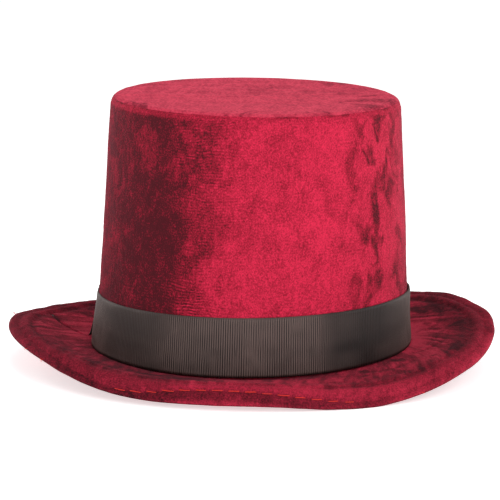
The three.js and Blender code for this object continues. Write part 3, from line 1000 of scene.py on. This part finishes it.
def ribbon_material():
    made, tree, shader = new_material("charcoal grosgrain")
    place = unrolled_place(tree)
    yarn = noise_at(tree, place, (1, 5, 0), 0.6, 3.0)
    fuzz = noise_at(tree, place, (1, 1, 0), 2.2, 2.0)
    shade = maths(tree, "MULTIPLY_ADD", yarn, 0.35, maths(tree, "MULTIPLY_ADD", fuzz, 0.3, 0.3))
    # the colour is scaled by the painted light and shade round the band
    shade = maths(tree, "MULTIPLY", shade, point_value(tree, "tone_and_painted_light"))
    # the ribs add a painted glint on their tops and painted shade in their gaps
    shade = maths(tree, "MULTIPLY_ADD", point_value(tree, "rib_painted_light"), 1.6, shade)
    fed(tree, shader, Base_Color=blended(tree, shade, RIBBON_DARK, RIBBON_LIGHT), Roughness=0.5,
        Specular_IOR_Level=0.22, Normal=bumped(tree, yarn, 0.3, 0.0002))
    return made


grosgrain = ribbon_material()
# painted light and shade round the ribbon, a painted highlight across the front where the light catches it
# and painted shade on its flanks: (degrees, brightness)
RIBBON_PAINTED_LIGHT = [(-180, 0.8), (-150, 0.5), (-120, 0.75), (-90, 1.0), (-68, 0.95), (-58, 0.6), (-48, 0.5),
               (-38, 0.55), (-28, 0.98), (-18, 0.9), (0, 1.05), (14, 0.95), (24, 0.8), (31, 0.3), (44, 0.12),
               (52, 0.25), (62, 0.5), (75, 0.75), (100, 0.9), (130, 0.5), (155, 0.85), (180, 0.8)]
RIBBON_SHIMMER = [(0.14, 40, 5, 73), (0.08, 12, 8, 74)]


def up_ribbon(z):
    """0 at the ribbon's foot, 1 at its top."""
    return (z - SEAT_TOP) / (BAND_TOP - SEAT_TOP)


# painted light and shade round the band, with random unevenness
def ribbon_tone_and_painted_light(t, z):
    return periodic(RIBBON_PAINTED_LIGHT, t) + layered(turn_of(t), up_ribbon(z), RIBBON_SHIMMER)


# %% Ribbon
RIB_PITCH = 1.42
RIB_DEPTH = 0.3
RIB_MEAN = 2 / math.pi  # of a rib's profile, a half wave
RIBBON = 0.7
RIBS = round(TURN * (BASE_RADIUS + OVAL / 2) / RIB_PITCH)
RIB_POINTS = 6
RIBBON_ROWS = 18
RIBBON_WAVES = [(0.25, 14, 2, 71), (0.12, 40, 5, 72)]
GAPE = 0.45  # how far the ribbon's top stands off on the right
GAPE_AT = math.radians(88)


def flare(t, z):
    turned = (t - FLARE_AT + math.pi) % TURN - math.pi
    return BAND_FLARE * bell(turned, FLARE_SPREAD) * (1 - smooth(z, SEAT_TOP, BAND_TOP))


def brim_top(off, t):
    """Height of the brim's upper face a distance off from the crown."""
    slope = brim_slope(off, t)
    return SEAT + seat_rise(t, SEAT_TOP) + off * np.sin(slope) + BRIM_FACE * np.cos(slope)


def ribbon_points(t, z, off):
    """Points of ribbon, off from the crown's velvet at height z, seated on the brim."""
    raised = z + seat_rise(t, z)
    floor = brim_top(2.2 + flare(t, SEAT_TOP), t) + CLEAR + z - SEAT_TOP
    low = 1 - smooth(z, SEAT_TOP, SEAT_TOP + 8)
    height = raised * (1 - low) + np.maximum(raised, floor) * low
    return placed(crown_radius(z) + off + flare(t, z), t, height)


def band_relief(t, z):
    """Slow waves of the ribbon: it stands off at its top on the right and ripples at its foot."""
    along = up_ribbon(z)
    gape = GAPE * bell(t - GAPE_AT, 0.3) * smooth(along, 0.55, 1)
    fold = -0.35 * bell(along - 0.1, 0.035) * smooth(-t, 0.6, 1.0) * (1 - smooth(-t, 1.7, 2.2))
    return layered(turn_of(t), along, RIBBON_WAVES) + 0.25 + gape + fold


def band():
    t = angles(RIBS * RIB_POINTS)
    turn = turn_of(t)
    up = np.linspace(SEAT_TOP + CLEAR, BAND_TOP, RIBBON_ROWS)
    wave = np.abs(np.sin(turn * RIBS * math.pi))
    z = np.concatenate([up, up[::-5]])[:, None]
    outer = np.arange(len(z))[:, None] < len(up)
    selvedge = np.minimum(1, np.minimum(z - up[0], up[-1] - z) / 1.5)
    stand = CLEAR + band_relief(t, z)
    off = np.where(outer, stand + RIBBON + RIB_DEPTH * wave * selvedge, stand)
    # painted light and shade round the band, with random unevenness
    tone_and_painted_light = ribbon_tone_and_painted_light(t, z)
    # where the painted light is bright, the ribs get a stronger painted glint on their tops and painted shade
    # in their gaps
    clear = smooth(tone_and_painted_light, 0.5, 0.9)
    along = (z - up[0]) / (up[-1] - up[0])
    watered = 0.85 + 1.1 * unevenness(turn, along, RIBS // 2, 5, 76)
    rib_painted_light = (wave - RIB_MEAN) * selvedge * (0.1 + 0.9 * clear) * watered * outer
    tone_and_painted_light = tone_and_painted_light + 0.16 * unevenness(turn, along, RIBS // 3, 7, 77) * clear
    return ring_object("ribbon_band", ribbon_points(t, z, off), {"rib_painted_light": rib_painted_light, "tone_and_painted_light": tone_and_painted_light})


band_piece = finished(band(), "ribbon", grosgrain, "hat_band")


# %% Ribbon's end
TAB_AT = -106
TAB_WIDTH = 20.0


def patch_object(name, outer, inner, marks=None):
    """A flat piece with thickness from two grids of points, (rows, columns, 3), closed along its rim."""
    rows, columns, _ = outer.shape
    vertices = np.vstack([outer.reshape(-1, 3), inner.reshape(-1, 3)])
    back = rows * columns
    front = grid_faces(rows, columns, columns_close=False)
    faces = front.tolist() + (front[:, [0, 3, 2, 1]] + back).tolist()
    rim = [*range(columns), *range(2 * columns - 1, back, columns)]
    rim += [*range(back - 2, back - columns - 1, -1), *range(back - 2 * columns, 0, -columns)]
    for a, b in zip(rim, rim[1:] + rim[:1]):
        faces.append([a, back + a, back + b, b])
    both = {key: np.tile(np.ravel(value), 2) for key, value in (marks or {}).items()}
    return made_object(name, vertices, faces, both)


CORNER_LIFT = 3.2  # how far the end's lower corner stands away


def tab():
    ribs = round(TAB_WIDTH / RIB_PITCH)
    share = np.linspace(0, 1, ribs * RIB_POINTS + 1)[None, :]
    half = TAB_WIDTH / 2 / (BASE_RADIUS + 2)
    t = math.radians(TAB_AT) + (share - 0.5) * 2 * half
    z = np.linspace(SEAT_TOP + 0.8, BAND_TOP - 0.6, RIBBON_ROWS)[:, None]
    wave = np.abs(np.sin(share * ribs * math.pi))
    along = (z - z[0]) / (z[-1] - z[0])
    corner = CORNER_LIFT * (1 - along) ** 3 * smooth(share, 0.55, 1)
    stand = CLEAR + band_relief(t, z) + RIBBON + RIB_DEPTH + 0.2 + corner
    outer = ribbon_points(t, z, stand + RIBBON + RIB_DEPTH * wave)
    inner = ribbon_points(t, z, stand)
    # painted light and shade round the band, as on the ribbon
    tone_and_painted_light = ribbon_tone_and_painted_light(t, z)
    # the ribs get a painted glint on their tops and painted shade in their gaps
    return patch_object("ribbon_end", outer, inner, {"rib_painted_light": (wave - RIB_MEAN) * 0.5 + 0 * tone_and_painted_light, "tone_and_painted_light": tone_and_painted_light})


tab_piece = finished(tab(), "ribbon", grosgrain, "band_tab")

# %% [markdown]
# ## Inside the crown
# The inside is lined with black satin, gathered a little under the tip, and a twill tape round the
# opening sits on the wearer's head. A blank label hangs at the back.

# %% Inside materials
WEAVE_BUMP = (0.35, 0.0002)
satin = mottled("black satin", ((0.006, 0.005, 0.006), (0.03, 0.028, 0.03)), unrolled_place,
                (0.25, 3, 1), (1.5, 2.0), WEAVE_BUMP, Roughness=0.3, Sheen_Weight=0.2)
twill = mottled("black twill tape", ((0.01, 0.009, 0.01), (0.06, 0.056, 0.058)), unrolled_place,
                (2, 2, 1), (1.2, 2.0), WEAVE_BUMP, Roughness=0.75, Sheen_Weight=0.3)
label_cloth = mottled("white label cloth", ((0.62, 0.6, 0.56), (0.85, 0.84, 0.8)), unrolled_place,
                      (2, 0.5, 1), (2.0, 2.0), WEAVE_BUMP, Roughness=0.5, Sheen_Weight=0.2)
LINING = 0.6  # thicknesses
SWEATBAND = 1.2
LABEL = 0.4
LINING_OFF = -3.8  # the inner faces, from the crown's outside
SWEAT_OFF = -5.3
BOARD = 1.6
LINING_TOP = HEIGHT - VELVET - 2 * CLEAR - BOARD
SWEAT_HEIGHT = 30
LABEL_WIDTH = 24
SWEAT_RADIUS = BASE_RADIUS - 5


# %% Lining, sweatband and label
def wall_ring(name, low, high, inner, thick, rows, columns, relief):
    """A ring of cloth inside the crown, up to inner from its outside; relief(t, z) is further inward."""
    t = angles(columns)
    up = np.linspace(low, high, rows)
    z = np.concatenate([up, up[::-max(1, rows // 4)]])[:, None]
    inside = np.arange(len(z))[:, None] < rows
    r = crown_radius(z) + np.where(inside, inner - relief(t, z), inner + thick)
    return ring_object(name, on_crown(r, t, z))


LINING_GATHERS = [(0.9, 26, 2, 81), (0.35, 70, 4, 82)]


def lining_relief(t, z):
    along = (z - WALL_BOTTOM) / (LINING_TOP - WALL_BOTTOM)
    folds = layered(turn_of(t), along, LINING_GATHERS)
    return (folds + 0.9) * smooth(z, WALL_BOTTOM + 30, WALL_BOTTOM + 60)


def sweat_relief(t, z):
    along = (z - WALL_BOTTOM) / SWEAT_HEIGHT
    return 0.35 + 0.35 * unevenness(turn_of(t), along, 22, 2, 83) * smooth(along, 0, 1)


lining_piece = wall_ring("satin_side_lining", WALL_BOTTOM, LINING_TOP - 0.6, LINING_OFF, LINING, 60, 360,
                         lining_relief)
finished(lining_piece, "lining", satin, "side_lining")
sweat_piece = wall_ring("twill_sweatband", WALL_BOTTOM, WALL_BOTTOM + SWEAT_HEIGHT, SWEAT_OFF, SWEATBAND,
                        24, 480, sweat_relief)
finished(sweat_piece, "sweatband", twill, "sweatband")


def lining_tip():
    t = angles(360)
    across = np.linspace(0, TIP_RADIUS + LINING_OFF - CLEAR, 50)
    r = spread(np.concatenate([across, across[::-10]]), t)
    share = r / r.max()
    gathers = 0.5 * unevenness(turn_of(t), share, 64, 3, 84) * smooth(share, 0.5, 1)
    lower = np.arange(len(r))[:, None] < len(across)
    z = np.where(lower, LINING_TOP - 0.9 + gathers * 0.5 - 0.3, LINING_TOP - 0.1)
    return disc_object("satin_tip_lining", on_crown(r, t, z))


tip_lining_piece = finished(lining_tip(), "lining", satin, "tip_lining")


def care_label():
    low, high = (corner.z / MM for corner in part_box("care_label"))
    share = np.linspace(0, 1, 25)[None, :]
    t = math.pi + (share - 0.5) * LABEL_WIDTH / SWEAT_RADIUS
    z = np.linspace(low, high, 30)[:, None]
    along = (z - low) / (high - low)
    curl = 1.6 * along**2 + 0.5 * np.sin(share * math.pi) * along
    r = crown_radius(z) + LINING_OFF - 1.5 - curl
    return patch_object("blank_label", placed(r - LABEL, t, z), placed(r, t, z))


label_piece = finished(care_label(), "label", label_cloth, "care_label")


OPENING_STITCHES = 150
OPENING_STEPS = 7


def opening_stitches():
    """Short stitches round the foot of the sweatband."""
    paths = []
    span, height = arch(OPENING_STEPS)
    for k in range(OPENING_STITCHES):
        t = (k + 0.5) / OPENING_STITCHES * TURN - math.pi + span * 0.62 * math.pi / OPENING_STITCHES
        z = np.full(OPENING_STEPS, WALL_BOTTOM + 2.3)
        paths.append(on_crown(crown_radius(z) + SWEAT_OFF - 0.35 - 0.3 * height, t, z))
    return tubes("stitches_opening", paths, [0.3 * MM] * OPENING_STITCHES)


finished(opening_stitches(), "thread", orange_thread, "opening_stitching")


# %% [markdown]
# ## Boards, wire and hidden thread
# The CAD pieces that keep their shape get real finishes: pressed fibre board and drawn steel wire.

# %% Carried-over pieces
BOARD_SHADES = ((0.012, 0.011, 0.01), (0.05, 0.045, 0.042))
fibre_board = mottled("fibre board", BOARD_SHADES, object_place, (1 / MM, 1 / MM, 3 / MM), (0.4, 5.0, 0.7),
                      (0.4, 0.0003), Roughness=0.9)


def wire_material():
    made, tree, shader = new_material("drawn steel wire")
    marks = noise_at(tree, object_place(tree), (1 / MM,) * 3, 0.7, 3.0)
    colour = blended(tree, marks, (0.35, 0.35, 0.36, 1), (0.55, 0.55, 0.56, 1))
    rough = maths(tree, "MULTIPLY_ADD", marks, 0.25, 0.25)
    fed(tree, shader, Base_Color=colour, Roughness=rough, Metallic=1)
    return made


carried = {"crown_side_board": fibre_board, "crown_tip_board": fibre_board, "brim_board": fibre_board,
           "brim_wire": wire_material(), "tip_seam_stitching": orange_thread}
for name, material in carried.items():
    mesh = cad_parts[name].data
    mesh.materials.clear()
    mesh.materials.append(material)
    print(name, "gets", material.name)

# %% [markdown]
# ## Studio
# A pale floor and soft light. A broad light in front and to the right fills the crown, a weaker one fills
# from the left, and strips on both sides behind catch the pile's edges.

# %% Floor, world and lights
bpy.ops.mesh.primitive_plane_add(size=30, location=(0, 0, 0))
floor = bpy.context.object
floor.name = "floor"
WHITE = (1, 1, 1, 1)
floor_material, floor_tree, floor_shader = new_material("pale floor")
fed(floor_tree, floor_shader, Base_Color=(0.9, 0.9, 0.9, 1), Roughness=0.9, Emission_Color=WHITE,
    Emission_Strength=0.6)
floor.data.materials.append(floor_material)

world = bpy.data.worlds.new("studio")
bpy.context.scene.world = world
world.use_nodes = True
sky_tree = world.node_tree
sky = fed(sky_tree, sky_tree.nodes["Background"], Color=WHITE, Strength=0.45)
backdrop = fed(sky_tree, node(sky_tree, "ShaderNodeBackground"), Color=WHITE)
seen = node(sky_tree, "ShaderNodeLightPath").outputs["Is Camera Ray"]
choice = node(sky_tree, "ShaderNodeMixShader")
for k, value in enumerate((seen, sky[0], backdrop[0])):
    feed(sky_tree, choice.inputs[k], value)
fed(sky_tree, sky_tree.nodes["World Output"], Surface=choice.outputs[0])


def area_light(name, place, target, size, power):
    data = bpy.data.lights.new(name, "AREA")
    data.shape = "RECTANGLE"
    data.size, data.size_y = size
    data.energy = power
    made = bpy.data.objects.new(name, data)
    bpy.context.scene.collection.objects.link(made)
    made.matrix_world = aimed(Vector(place), Vector(target))
    print(name, "light,", power, "W")


LIGHTS = [("key", (0.5, -1.7, 0.9), (0, 0, 0.09), (0.9, 0.9), 13),
          ("fill", (-1.3, -1.3, 0.8), (0, 0, 0.08), (0.8, 0.8), 3),
          ("rim_left", (-1.1, 0.7, 0.6), (0, 0, 0.09), (0.4, 1.0), 5),
          ("rim_right", (1.2, 0.5, 0.6), (0, 0, 0.09), (0.4, 1.0), 5),
          ("top", (0, 0.1, 1.5), (0, 0, 0.1), (0.8, 0.8), 4)]
for light in LIGHTS:
    area_light(*light)
bpy.context.scene.view_settings.view_transform = "Standard"
